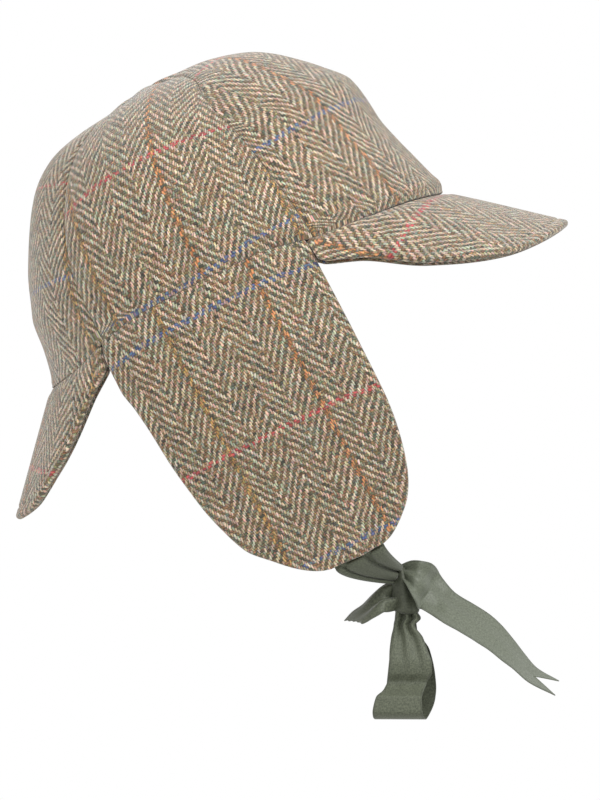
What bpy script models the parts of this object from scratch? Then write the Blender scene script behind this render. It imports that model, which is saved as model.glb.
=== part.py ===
"""Deerstalker hat of herringbone tweed, worn with its ear flaps down and its ribbons tied under the chin.

Six wall-like crown panels meet at seams, a peak stands in front and behind, an ear flap hangs at each side
from the same rim, a dark band lines the rim inside, and a ribbon from each flap runs to a half bow.
Units are metres and degrees. The hat's own frame has +X forwards, +Y to the wearer's left and +Z out of the
crown. The rim plane is then tilted back about Y, as the hat sits on a level head, and the bow hangs straight down.
"""

import collections
import math

import bmesh
import bpy
import numpy as np

# Rim and crown
TILT_BACK = 26.6
CROWN_MIDDLE = -0.005
RIM_FRONT = 0.1075
RIM_REAR = 0.0975
RIM_SIDE = 0.083
RIM_RISE = 0.0128
CROWN_HEIGHT = 0.1053
CROWN_LEAN = 0.06
SECTION_POWER = 2.1
PANEL_PUFF = 0.0036
REAR_PUFF = 0.0024
CLOTH_WALL = 0.0024
SEAM_GAP = 0.0003
SIDE_SEAM_FRONT = 60.6
SIDE_SEAM_REAR = 136.0

# Peaks, sewn to the rim from one flap round to the other
PEAK_THICKNESS = 0.0036
FRONT_PEAK_WIDTH = 0.0575
FRONT_PEAK_SLOPE = 39.5
FRONT_PEAK_END_SLOPE = 71.0
REAR_PEAK_WIDTH = 0.059
REAR_PEAK_SLOPE = 48.0
REAR_PEAK_END_SLOPE = 75.0
REAR_PEAK_HALF_ANGLE = 41.4

# Ear flaps
FLAP_FRONT_ANGLE = 62.5
FLAP_REAR_ANGLE = 136.0
FLAP_DROP = 0.133
FLAP_INSET = 0.038
FLAP_FLATTEN = 0.75
FLAP_WALL = 0.003

# Band inside the rim
BAND_HEIGHT = 0.030
BAND_WALL = 0.0012
BAND_GAP = 0.0005

# Ribbons and their knot
RIBBON_WIDTH = 0.025
RIBBON_WALL = 0.001
RIBBON_SEWN = 0.016
GATHERED_WIDTH = 0.0095
TIE_END_BACK = 0.0032
TIE_END_ASIDE = 0.0042
TIE_END_UP = 0.0078
TIE_END_LEAN = 0.5
TIE_PLEAT = 0.0009
TIE_LEAVE = 1.2
KNOT_FORWARD = 0.0722
KNOT_DROP = 0.139
KNOT_LENGTH = 0.0095
KNOT_DEPTH = 0.014
KNOT_HEIGHT = 0.0185
LOOP_LENGTH = 0.0492
LOOP_ROLL = 0.0065
LOOP_TURN = 25.0
FRONT_TAIL_LENGTH = 0.0825
FRONT_TAIL_RAISE = 0.0034
REAR_TAIL_LENGTH = 0.030
REAR_TAIL_LOWER = 0.0014
SWALLOW_CUT = 0.011

# Mesh density: rows go up or along a piece and columns across it
PANEL_ROWS, PANEL_COLUMNS = 19, 11
PEAK_ROWS, PEAK_COLUMNS = 7, 25
FLAP_ROWS, FLAP_COLUMNS = 17, 12
BAND_COLUMNS = 60
TIE_ROWS, TIE_COLUMNS, TIE_LAID_ROWS = 13, 9, 4
LOOP_ROWS, LOOP_COLUMNS = 30, 7
TAIL_ROWS, TAIL_COLUMNS = 12, 5
KNOT_ROWS, KNOT_COLUMNS = 12, 16
TIP_SHARE = 0.992

# Crown sections from rim to top. Height is a share of CROWN_HEIGHT, the reaches are shares of the rim's
# reaches, puff is how much of its puff a panel swells between its seams, and the two sways are the angles in
# degrees by which the side panel's front and rear seams swing backwards.
CrownSection = collections.namedtuple("CrownSection", "up height front rear side puff front_sway rear_sway")
CROWN_SECTIONS = (
    CrownSection(0.00, 0.000, 1.000, 1.000, 1.000, 0.00, 0.0, 0.0),
    CrownSection(0.03, 0.046, 0.999, 0.968, 0.999, 0.05, 0.3, 0.3),
    CrownSection(0.07, 0.095, 0.982, 0.956, 0.996, 0.12, 0.6, 0.8),
    CrownSection(0.14, 0.190, 0.951, 0.941, 0.986, 0.22, 1.0, 1.6),
    CrownSection(0.22, 0.300, 0.913, 0.932, 0.966, 0.30, 1.5, 2.4),
    CrownSection(0.30, 0.400, 0.884, 0.898, 0.938, 0.38, 2.0, 3.0),
    CrownSection(0.38, 0.500, 0.872, 0.859, 0.900, 0.45, 2.5, 3.4),
    CrownSection(0.46, 0.600, 0.850, 0.806, 0.850, 0.55, 3.0, 3.6),
    CrownSection(0.54, 0.700, 0.768, 0.746, 0.780, 0.65, 3.5, 3.6),
    CrownSection(0.62, 0.780, 0.686, 0.690, 0.702, 0.78, 4.0, 3.4),
    CrownSection(0.70, 0.850, 0.603, 0.630, 0.615, 0.90, 4.5, 3.0),
    CrownSection(0.77, 0.900, 0.525, 0.565, 0.532, 0.97, 5.0, 2.5),
    CrownSection(0.84, 0.940, 0.420, 0.480, 0.435, 1.00, 5.5, 2.0),
    CrownSection(0.90, 0.965, 0.325, 0.345, 0.330, 1.00, 6.0, 1.5),
    CrownSection(0.94, 0.980, 0.220, 0.180, 0.205, 0.90, 6.0, 1.0),
    CrownSection(0.97, 0.998, 0.100, 0.080, 0.095, 0.70, 6.0, 0.5),
    CrownSection(1.00, 1.003, 0.000, 0.000, 0.000, 0.00, 6.0, 0.0),
)

# How far the rim lifts at the sides: along is a share of the rim's reach, from behind to in front, and
# rise is a share of RIM_RISE.
RimPoint = collections.namedtuple("RimPoint", "along rise")
RIM_LINE = (
    RimPoint(-1.00, 0.00),
    RimPoint(-0.84, 0.20),
    RimPoint(-0.66, 0.66),
    RimPoint(-0.42, 0.95),
    RimPoint(-0.05, 1.00),
    RimPoint(0.14, 0.98),
    RimPoint(0.33, 0.72),
    RimPoint(0.42, 0.56),
    RimPoint(0.63, 0.43),
    RimPoint(0.83, 0.28),
    RimPoint(1.00, 0.00),
)

# Peak outlines from the middle, at along 0, to the end beside a flap, at 1. Width is a share of the peak's
# width, and steep goes from its slope in the middle, at 0, to its slope at the end, at 1.
PeakStation = collections.namedtuple("PeakStation", "along width steep")
FRONT_PEAK_OUTLINE = (
    PeakStation(0.000, 1.000, 0.00),
    PeakStation(0.320, 0.915, 0.30),
    PeakStation(0.620, 0.600, 0.60),
    PeakStation(0.830, 0.290, 0.80),
    PeakStation(1.000, 0.180, 1.00),
)
REAR_PEAK_OUTLINE = (
    PeakStation(0.000, 1.000, 0.00),
    PeakStation(0.250, 0.925, 0.14),
    PeakStation(0.460, 0.700, 0.30),
    PeakStation(0.810, 0.270, 0.72),
    PeakStation(1.000, 0.170, 1.00),
)

# Flap outline from the rim down. Front and rear are shares of half the flap's width at the rim, either side
# of its middle, and inward is a share of FLAP_INSET.
FlapSection = collections.namedtuple("FlapSection", "down front rear inward")
FLAP_SECTIONS = (
    FlapSection(0.00, 1.000, 1.000, 0.00),
    FlapSection(0.08, 0.996, 1.012, 0.02),
    FlapSection(0.16, 0.996, 1.040, 0.05),
    FlapSection(0.24, 0.996, 1.010, 0.09),
    FlapSection(0.32, 0.996, 0.984, 0.14),
    FlapSection(0.47, 0.996, 0.945, 0.29),
    FlapSection(0.56, 0.994, 0.908, 0.39),
    FlapSection(0.64, 0.978, 0.868, 0.50),
    FlapSection(0.73, 0.938, 0.797, 0.62),
    FlapSection(0.82, 0.872, 0.698, 0.75),
    FlapSection(0.89, 0.780, 0.525, 0.85),
    FlapSection(0.95, 0.625, 0.350, 0.92),
    FlapSection(0.98, 0.512, 0.220, 0.97),
    FlapSection(1.00, 0.390, 0.060, 1.00),
)

# The loop of the bow, down its front layer, round the bottom and up behind. Depth is a share of LOOP_ROLL
# towards the viewer of its front, down a share of LOOP_LENGTH, width a share of RIBBON_WIDTH, and slip a
# share of RIBBON_WIDTH backwards along the ribbon's width.
LoopStation = collections.namedtuple("LoopStation", "along depth down width slip")
LOOP_STATIONS = (
    LoopStation(0.00, 0.32, 0.00, 0.46, -0.10),
    LoopStation(0.10, 0.75, 0.13, 0.41, -0.11),
    LoopStation(0.22, 1.30, 0.36, 0.69, -0.22),
    LoopStation(0.34, 1.60, 0.62, 0.83, -0.26),
    LoopStation(0.43, 1.75, 0.80, 0.96, -0.08),
    LoopStation(0.49, 1.45, 0.94, 1.00, -0.06),
    LoopStation(0.54, 0.55, 1.00, 1.00, 0.02),
    LoopStation(0.59, -0.40, 0.94, 1.00, 0.04),
    LoopStation(0.65, -0.70, 0.80, 1.00, -0.05),
    LoopStation(0.80, -0.75, 0.45, 0.86, -0.05),
    LoopStation(0.92, -0.55, 0.15, 0.50, 0.04),
    LoopStation(1.00, -0.32, 0.00, 0.42, -0.02),
)

# The tails from the knot outwards. Ahead, down and aside are shares of the tail's length from its start, aside
# towards the wearer's right. Width is a share of RIBBON_WIDTH. Lean is how far the ribbon's upper edge leans
# forwards and turn how far it goes over to the wearer's left, in degrees.
TailStation = collections.namedtuple("TailStation", "along ahead down aside width lean turn")
FRONT_TAIL_STATIONS = (
    TailStation(0.00, 0.000, 0.000, 0.000, 0.85, 0.0, 24.0),
    TailStation(0.10, 0.089, 0.057, 0.015, 0.92, 7.0, 30.0),
    TailStation(0.20, 0.161, 0.126, 0.030, 0.97, 13.0, 47.0),
    TailStation(0.34, 0.273, 0.195, 0.050, 1.00, 25.0, 54.0),
    TailStation(0.53, 0.431, 0.299, 0.060, 1.00, 27.0, 57.0),
    TailStation(0.73, 0.569, 0.443, 0.060, 1.00, 34.0, 68.0),
    TailStation(0.86, 0.667, 0.529, 0.060, 1.00, 34.0, 73.0),
    TailStation(1.00, 0.793, 0.598, 0.060, 1.00, 20.0, 73.0),
)
REAR_TAIL_STATIONS = (
    TailStation(0.00, 0.000, 0.000, 0.000, 0.66, 0.0, 0.0),
    TailStation(0.22, -0.185, 0.085, 0.090, 0.75, -20.0, 35.0),
    TailStation(0.50, -0.378, 0.247, 0.230, 0.90, -35.0, 62.0),
    TailStation(0.75, -0.530, 0.370, 0.370, 1.00, -60.0, 70.0),
    TailStation(1.00, -0.640, 0.480, 0.520, 1.00, -75.0, 70.0),
)

COLOURS = {
    "tweed": ((0.36, 0.29, 0.22), 0.95),
    "band": ((0.03, 0.035, 0.035), 0.7),
    "ribbon": ((0.17, 0.18, 0.14), 0.55),
}


def smooth(rows, column, at):
    """Value of one named column of a table at places of its first column, on a smooth curve."""
    across = np.array([row[0] for row in rows])
    values = np.array([getattr(row, column) for row in rows])
    chords = np.diff(values) / np.diff(across)
    slopes = np.empty_like(values)
    slopes[0], slopes[-1] = chords[0], chords[-1]
    left, right = chords[:-1], chords[1:]
    same_way = left * right > 0
    slopes[1:-1] = np.where(same_way, 2 * left * right / np.where(same_way, left + right, 1), 0)
    at = np.asarray(at, float)
    cell = np.clip(np.searchsorted(across, at, side="right") - 1, 0, len(chords) - 1)
    width = across[cell + 1] - across[cell]
    t = np.clip((at - across[cell]) / width, 0, 1)
    start, end = values[cell], values[cell + 1]
    rise_out, rise_in = slopes[cell] * width, slopes[cell + 1] * width
    return (
        start * (1 + 2 * t) * (1 - t) ** 2
        + rise_out * t * (1 - t) ** 2
        + end * t * t * (3 - 2 * t)
        - rise_in * t * t * (1 - t)
    )


def unit(vectors):
    return vectors / np.linalg.norm(vectors, axis=-1, keepdims=True)


def stack(x, y, z):
    return np.stack(np.broadcast_arrays(x, y, z), axis=-1)


def reach(angle, up):
    """Distance of the crown from its upright middle line, as an egg-shaped section at that level."""
    cosine, sine = np.cos(angle), np.sin(angle)
    along = np.where(
        cosine >= 0,
        RIM_FRONT * smooth(CROWN_SECTIONS, "front", up),
        RIM_REAR * smooth(CROWN_SECTIONS, "rear", up),
    )
    aside = RIM_SIDE * smooth(CROWN_SECTIONS, "side", up)
    power = SECTION_POWER
    total = np.abs(cosine / along) ** power + np.abs(sine / aside) ** power
    return total ** (-1 / power)


def rim_lift(x):
    """Height of the rim at a place along the hat."""
    from_middle = x - CROWN_MIDDLE
    share = from_middle / np.where(from_middle >= 0, RIM_FRONT, RIM_REAR)
    return RIM_RISE * smooth(RIM_LINE, "rise", share)


def crown_base(angle, up):
    """A point of the crown's seam surface, without the panels' swelling."""
    at_rim = CROWN_MIDDLE + reach(angle, np.zeros_like(up)) * np.cos(angle)
    radius = reach(angle, up)
    height = smooth(CROWN_SECTIONS, "height", up)
    x = CROWN_MIDDLE + radius * np.cos(angle)
    top = CROWN_HEIGHT * (1 + CROWN_LEAN * (x - CROWN_MIDDLE) / RIM_FRONT)
    return stack(x, radius * np.sin(angle), rim_lift(at_rim) * (1 - height) + top * height)


def crown_normal(angle, up):
    """Outward direction of the seam surface, level at the rim so that the rim's edge stays level."""
    step = 0.004
    high, low = np.clip(up + step, 0, 0.985), np.clip(up - step, 0, 0.97)
    around = crown_base(angle + step, np.clip(up, 0, 0.98)) - crown_base(angle - step, np.clip(up, 0, 0.98))
    rising = crown_base(angle, high) - crown_base(angle, low)
    normal = unit(np.cross(around, rising))
    normal[..., 2] *= np.clip(up / CROWN_SECTIONS[1].up, 0, 1)
    return unit(normal)


def level_normal(angle):
    """Level outward direction of the rim."""
    angle = np.asarray(angle, float)
    return crown_normal(angle, np.zeros_like(angle))


def rim_point(angle):
    """Outer edge of the crown at the rim, a seam gap lower, where flaps and peaks start."""
    angle = np.asarray(angle, float)
    point = crown_base(angle, np.zeros_like(angle))
    point[..., 2] -= SEAM_GAP
    return point


def tilted(points):
    """From the hat's own frame to the frame of a level head."""
    cosine, sine = math.cos(math.radians(TILT_BACK)), math.sin(math.radians(TILT_BACK))
    x, y, z = points[..., 0], points[..., 1], points[..., 2]
    return stack(x * cosine - z * sine, y, x * sine + z * cosine)


def material(name):
    """One Principled material for each finish."""
    made = bpy.data.materials.get(name)
    if made:
        return made
    colour, roughness = COLOURS[name]
    made = bpy.data.materials.new(name)
    made.use_nodes = True
    shader = made.node_tree.nodes["Principled BSDF"]
    shader.inputs["Base Color"].default_value = (*colour, 1)
    shader.inputs["Roughness"].default_value = roughness
    shader.inputs["Metallic"].default_value = 0
    return made


def wall(name, outer, inner, finish, ring=False):
    """A closed cloth wall between two grids of points; ring joins the last column to the first."""
    rows, columns = outer.shape[:2]
    sheet = bmesh.new()
    grids = [
        [[sheet.verts.new(point) for point in row] for row in grid.tolist()]
        for grid in (outer, inner)
    ]
    outside, inside = grids
    last = columns if ring else columns - 1
    for row in range(rows - 1):
        for column in range(last):
            beside = (column + 1) % columns
            for face in grids:
                sheet.faces.new(
                    (face[row][column], face[row][beside], face[row + 1][beside], face[row + 1][column])
                )
    for row in (0, rows - 1):
        for column in range(last):
            beside = (column + 1) % columns
            sheet.faces.new(
                (outside[row][column], outside[row][beside], inside[row][beside], inside[row][column])
            )
    if not ring:
        for column in (0, columns - 1):
            for row in range(rows - 1):
                sheet.faces.new(
                    (outside[row][column], outside[row + 1][column], inside[row + 1][column], inside[row][column])
                )
    bmesh.ops.recalc_face_normals(sheet, faces=sheet.faces)
    mesh = bpy.data.meshes.new(name)
    sheet.to_mesh(mesh)
    sheet.free()
    mesh.materials.append(material(finish))
    mesh.shade_smooth()
    mesh.set_sharp_from_angle(angle=math.radians(50))
    made = bpy.data.objects.new(name, mesh)
    bpy.context.scene.collection.objects.link(made)
    return made


def panel_rows():
    return np.linspace(0, TIP_SHARE, PANEL_ROWS)


def crown_panel(name, side, seams, sways, swell):
    """One sewn panel, from rim to top, swelling between its two seams."""
    across, up = np.meshgrid(np.linspace(0, 1, PANEL_COLUMNS), panel_rows())
    start, end = (
        seam + (smooth(CROWN_SECTIONS, sway, up) if sway else 0) for seam, sway in zip(seams, sways)
    )
    start, end = np.radians(start), np.radians(end)
    margin = SEAM_GAP / 2 / reach((start + end) / 2, up)
    angle = side * (start + margin + (end - start - 2 * margin) * across)
    puff = swell * np.sin(math.pi * across) ** 0.75 * smooth(CROWN_SECTIONS, "puff", up)
    normal = crown_normal(angle, up)
    outer = crown_base(angle, up) + puff[..., None] * normal
    wall(name, tilted(outer), tilted(outer - CLOTH_WALL * normal), "tweed")


def peak(name, facing, half_angle, width, slopes, outline):
    """A stiff cloth peak on rulings that leave the rim outwards and down, steeper towards its ends."""
    margin = SEAM_GAP / 2 / RIM_SIDE
    outline = [row._replace(along=-row.along) for row in reversed(outline[1:])] + list(outline)
    across = np.linspace(-1, 1, PEAK_COLUMNS)
    angle = math.radians(facing) + across * (math.radians(half_angle) - margin)
    steep = smooth(outline, "steep", across)
    slope = np.radians(slopes[0] + (slopes[1] - slopes[0]) * steep)[:, None]
    level = level_normal(angle)
    upright = np.array([0.0, 0.0, 1.0])
    ruling = np.cos(slope) * level - np.sin(slope) * upright
    under = -(np.sin(slope) * level + np.cos(slope) * upright)
    out = width * smooth(outline, "width", across)
    share = np.linspace(0, 1, PEAK_ROWS)[:, None, None]
    upper = rim_point(angle) + share * out[:, None] * ruling
    wall(name, tilted(upper), tilted(upper + PEAK_THICKNESS * under), "tweed")


def flap_ends():
    """Places along the hat where a flap starts in front and ends behind, at the rim."""
    margin = SEAM_GAP / 2 / RIM_SIDE
    front = rim_point(math.radians(FLAP_FRONT_ANGLE) + margin)[0]
    rear = rim_point(math.radians(FLAP_REAR_ANGLE) - margin)[0]
    return front, rear


def rim_aside(x):
    """How far the rim lies from the middle plane at a place along the hat."""
    from_middle = x - CROWN_MIDDLE
    share = np.abs(from_middle) / np.where(from_middle >= 0, RIM_FRONT, RIM_REAR)
    return RIM_SIDE * np.clip(1 - share**SECTION_POWER, 0, 1) ** (1 / SECTION_POWER)


def flap_point(x, down, side):
    """A point of a flap's outer face, which follows the rim above and flattens and turns in below."""
    aside = rim_aside(x)
    flat = RIM_SIDE - (RIM_SIDE - aside) * (1 - FLAP_FLATTEN * np.clip(down, 0, 1))
    y = flat - FLAP_INSET * smooth(FLAP_SECTIONS, "inward", down)
    z = (rim_lift(x) - SEAM_GAP) * (1 - down) - FLAP_DROP * down
    return stack(x, side * y, z)


def flap_normal(x, down, side):
    """Outward direction of a flap."""
    step = 0.001
    along = flap_point(x + step, down, side) - flap_point(x - step, down, side)
    low, high = np.clip(down + step, 2 * step, 1), np.clip(down - step, 0, 1 - 2 * step)
    rising = flap_point(x, high, side) - flap_point(x, low, side)
    normal = unit(np.cross(rising, along)) * side
    normal[..., 2] *= np.clip(down / FLAP_SECTIONS[1].down, 0, 1)
    return unit(normal)


def flap(name, side):
    """An ear flap, a double wall of cloth shaped like a tongue."""
    front, rear = flap_ends()
    middle, half = (front + rear) / 2, (front - rear) / 2
    across, down = np.meshgrid(np.linspace(-1, 1, FLAP_COLUMNS), np.linspace(0, 1, FLAP_ROWS) ** 0.85)
    forward = smooth(FLAP_SECTIONS, "front", down)
    back = smooth(FLAP_SECTIONS, "rear", down)
    x = middle + half * (forward - (forward + back) * (1 - across) / 2)
    outer = flap_point(x, down, side)
    wall(name, tilted(outer), tilted(outer - FLAP_WALL * flap_normal(x, down, side)), "tweed")


def band(name):
    """The dark band that lines the crown's walls just above the rim."""
    turn = np.linspace(0, 2 * math.pi, BAND_COLUMNS, endpoint=False)
    rows = panel_rows()
    rows = rows[smooth(CROWN_SECTIONS, "height", rows) <= BAND_HEIGHT / CROWN_HEIGHT]
    angle, up = np.meshgrid(turn, rows)
    normal = crown_normal(angle, up)
    outer = crown_base(angle, up) - (CLOTH_WALL + BAND_GAP) * normal
    wall(name, tilted(outer), tilted(outer - BAND_WALL * normal), "band", ring=True)


def strip(name, centre, width_way, width, fold=0.0, folds=1.5, columns=TAIL_COLUMNS, cut=0.0):
    """A ribbon along centre. Folds gather its width, and cut draws a notch into its far end."""
    share = np.linspace(-1, 1, columns)
    along = unit(np.gradient(centre, axis=0))
    face = unit(np.cross(along, width_way))
    wave = np.asarray(fold) * np.ones(len(centre))
    ripple = wave[:, None] * np.cos(math.pi * folds * share[None, :])
    grid = (
        centre[:, None, :]
        + (width / 2)[:, None, None] * share[None, :, None] * width_way[:, None, :]
        + ripple[:, :, None] * face[:, None, :]
    )
    if cut:
        end_share = np.linspace(0, 1, len(centre))[:, None, None] ** 8
        grid = grid - end_share * cut * (1 - np.abs(share))[None, :, None] * along[:, None, :]
    half = RIBBON_WALL / 2 * face[:, None, :]
    wall(name, grid + half, grid - half, "ribbon")


def knot_centre():
    return np.array([KNOT_FORWARD, 0.0, -KNOT_DROP])


def sheet_normal(grid):
    """Upright direction of each point of a grid of points."""
    return unit(np.cross(np.gradient(grid, axis=0), np.gradient(grid, axis=1)))


def tie(name, side):
    """Ribbon sewn inside a flap's lower end. It leaves as a fan of pleats that gathers at the knot."""
    front, rear = flap_ends()
    middle, half = (front + rear) / 2, (front - rear) / 2
    low = FLAP_SECTIONS[-1]
    x = middle + half * (low.front - low.rear) / 2
    depth = FLAP_WALL + 2 * SEAM_GAP + RIBBON_WALL / 2
    sewn = RIBBON_SEWN / FLAP_DROP
    share, down = np.meshgrid(np.linspace(-1, 1, TIE_COLUMNS), np.linspace(1 - sewn, 1.01, TIE_LAID_ROWS))
    places = x + share * RIBBON_WIDTH / 2
    laid = tilted(flap_point(places, down, side) - depth * flap_normal(places, down, side))
    at_knot = knot_centre() + np.array([-TIE_END_BACK, side * TIE_END_ASIDE, TIE_END_UP])
    knot_way = unit(np.array([TIE_END_LEAN, 0.0, 1.0]))
    end = at_knot + share[0][:, None] * GATHERED_WIDTH / 2 * knot_way
    leave = laid[-1] + TIE_LEAVE * (laid[-1] - laid[-2])
    t = np.linspace(0, 1, TIE_ROWS - TIE_LAID_ROWS + 1)[1:, None, None]
    run = (1 - t) ** 2 * laid[-1] + 2 * t * (1 - t) * leave + t**2 * end
    grid = np.concatenate([laid, run])
    gathered = np.concatenate([np.zeros(TIE_LAID_ROWS), t[:, 0, 0]])[:, None, None]
    pleat = TIE_PLEAT * gathered * np.cos(math.pi * 3 * share[0])[None, :, None]
    grid = grid + pleat * sheet_normal(grid)
    offset = RIBBON_WALL / 2 * sheet_normal(grid)
    wall(name, grid + offset, grid - offset, "ribbon")


def knot(name):
    """The wrapped knot, a rounded barrel with a waist line of cloth round it."""
    turn = np.linspace(0, 2 * math.pi, KNOT_COLUMNS, endpoint=False)
    rows = np.linspace(0.06, math.pi - 0.06, KNOT_ROWS)
    around, polar = np.meshgrid(turn, rows)
    half = np.array([KNOT_LENGTH, KNOT_DEPTH, KNOT_HEIGHT]) / 2
    body = stack(
        np.sin(polar) ** 0.8 * np.cos(around) * half[0],
        np.sin(polar) ** 0.8 * np.sin(around) * half[1],
        np.cos(polar) * half[2],
    )
    shell = bmesh.new()
    rings = [[shell.verts.new(p) for p in ring] for ring in (knot_centre() + body).tolist()]
    for upper, lower in zip(rings, rings[1:]):
        for column in range(KNOT_COLUMNS):
            beside = (column + 1) % KNOT_COLUMNS
            shell.faces.new((upper[column], upper[beside], lower[beside], lower[column]))
    shell.faces.new(rings[0])
    shell.faces.new(rings[-1])
    bmesh.ops.recalc_face_normals(shell, faces=shell.faces)
    mesh = bpy.data.meshes.new(name)
    shell.to_mesh(mesh)
    shell.free()
    mesh.materials.append(material("ribbon"))
    mesh.shade_smooth()
    bpy.context.scene.collection.objects.link(bpy.data.objects.new(name, mesh))


def bow_loop(name):
    """The hanging loop, gathered at the knot, full width where it turns up at the bottom."""
    along = np.linspace(0, 1, LOOP_ROWS)
    turn = math.radians(LOOP_TURN)
    width_way = np.array([math.cos(turn), -math.sin(turn), 0.0])
    depth_way = np.array([-math.sin(turn), -math.cos(turn), 0.0])
    top = knot_centre() - np.array([0, 0, KNOT_HEIGHT / 2 + SEAM_GAP])
    depth = LOOP_ROLL * smooth(LOOP_STATIONS, "depth", along)
    down = LOOP_LENGTH * smooth(LOOP_STATIONS, "down", along)
    slip = RIBBON_WIDTH * smooth(LOOP_STATIONS, "slip", along)
    centre = (
        top
        + depth[:, None] * depth_way
        - down[:, None] * np.array([0, 0, 1.0])
        - slip[:, None] * width_way
    )
    width = RIBBON_WIDTH * smooth(LOOP_STATIONS, "width", along)
    strip(name, centre, np.tile(width_way, (LOOP_ROWS, 1)), width, columns=LOOP_COLUMNS)


def tail(name, length, root, stations, cut=0.0):
    """A loose end of ribbon that leaves the knot and falls away."""
    along = np.linspace(0, 1, TAIL_ROWS)
    moved = stack(
        smooth(stations, "ahead", along),
        -smooth(stations, "aside", along),
        -smooth(stations, "down", along),
    )
    lean = np.radians(smooth(stations, "lean", along))
    turn = np.radians(smooth(stations, "turn", along))
    width_way = stack(np.cos(turn) * np.sin(lean), np.sin(turn), np.cos(turn) * np.cos(lean))
    width = RIBBON_WIDTH * smooth(stations, "width", along)
    strip(name, root + length * moved, width_way, width, cut=cut)


def bow_tails():
    front_root = knot_centre() + np.array([KNOT_LENGTH / 2 + SEAM_GAP, 0.0, FRONT_TAIL_RAISE])
    rear_root = knot_centre() - np.array([KNOT_LENGTH / 2 + SEAM_GAP, 0.0, REAR_TAIL_LOWER])
    tail("tail_front", FRONT_TAIL_LENGTH, front_root, FRONT_TAIL_STATIONS, cut=SWALLOW_CUT)
    tail("tail_rear", REAR_TAIL_LENGTH, rear_root, REAR_TAIL_STATIONS)


def main():
    for old in list(bpy.data.objects):
        bpy.data.objects.remove(old, do_unlink=True)
    for hand, side in (("left", 1), ("right", -1)):
        for place, first, second, first_sway, second_sway, swell in (
            ("front", 0.0, SIDE_SEAM_FRONT, None, "front_sway", PANEL_PUFF),
            ("side", SIDE_SEAM_FRONT, SIDE_SEAM_REAR, "front_sway", "rear_sway", PANEL_PUFF),
            ("rear", SIDE_SEAM_REAR, 180.0, "rear_sway", None, REAR_PUFF),
        ):
            crown_panel(f"crown_{place}_{hand}", side, (first, second), (first_sway, second_sway), swell)
        flap(f"ear_flap_{hand}", side)
        tie(f"tie_{hand}", side)
    peak(
        "peak_front",
        0.0,
        FLAP_FRONT_ANGLE,
        FRONT_PEAK_WIDTH,
        (FRONT_PEAK_SLOPE, FRONT_PEAK_END_SLOPE),
        FRONT_PEAK_OUTLINE,
    )
    peak(
        "peak_rear",
        180.0,
        REAR_PEAK_HALF_ANGLE,
        REAR_PEAK_WIDTH,
        (REAR_PEAK_SLOPE, REAR_PEAK_END_SLOPE),
        REAR_PEAK_OUTLINE,
    )
    band("rim_band")
    knot("bow_knot")
    bow_loop("bow_loop")
    bow_tails()


main()
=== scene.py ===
# Deerstalker hat in herringbone tweed with a coloured overcheck, its ear flaps down and its ribbons
# tied under the chin. Metres, +X forwards, +Y to the wearer's left, +Z up as the hat sits on a level head.
import math
from functools import partial

import bpy
import numpy as np
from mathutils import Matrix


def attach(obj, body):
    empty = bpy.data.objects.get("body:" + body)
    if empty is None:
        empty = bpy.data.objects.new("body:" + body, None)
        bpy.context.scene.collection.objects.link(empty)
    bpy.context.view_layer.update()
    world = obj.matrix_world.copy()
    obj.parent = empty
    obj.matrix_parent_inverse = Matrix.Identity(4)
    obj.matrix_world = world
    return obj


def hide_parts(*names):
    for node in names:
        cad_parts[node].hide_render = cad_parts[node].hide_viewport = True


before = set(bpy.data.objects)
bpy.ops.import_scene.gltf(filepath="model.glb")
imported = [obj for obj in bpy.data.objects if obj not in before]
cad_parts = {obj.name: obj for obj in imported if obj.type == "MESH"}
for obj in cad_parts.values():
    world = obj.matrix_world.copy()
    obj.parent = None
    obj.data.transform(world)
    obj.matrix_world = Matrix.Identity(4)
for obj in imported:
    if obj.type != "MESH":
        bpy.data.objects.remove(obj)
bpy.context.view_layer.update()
print("frame loaded:", len(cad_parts), "solids")

# The hat's own frame has +Z out of the crown. Angles in degrees go from the front round the wearer's side.
hat = {
    "tiltBack": 26.6,
    "middle": -0.005,
    "rimFront": 0.1075,
    "rimRear": 0.0975,
    "rimSide": 0.083,
    "rimRise": 0.0128,
    "crownHeight": 0.1043,
    "crownLean": 0.06,
    "topForward": 0.0035,
    "bendFrom": 0.6,  # share of the way up
    "bendPower": 1.5,
    "roundness": 2.1,
    "cloth": 0.0024,
    "seamGap": 0.0003,
}

hands = (("Right", -1), ("Left", 1))

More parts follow.
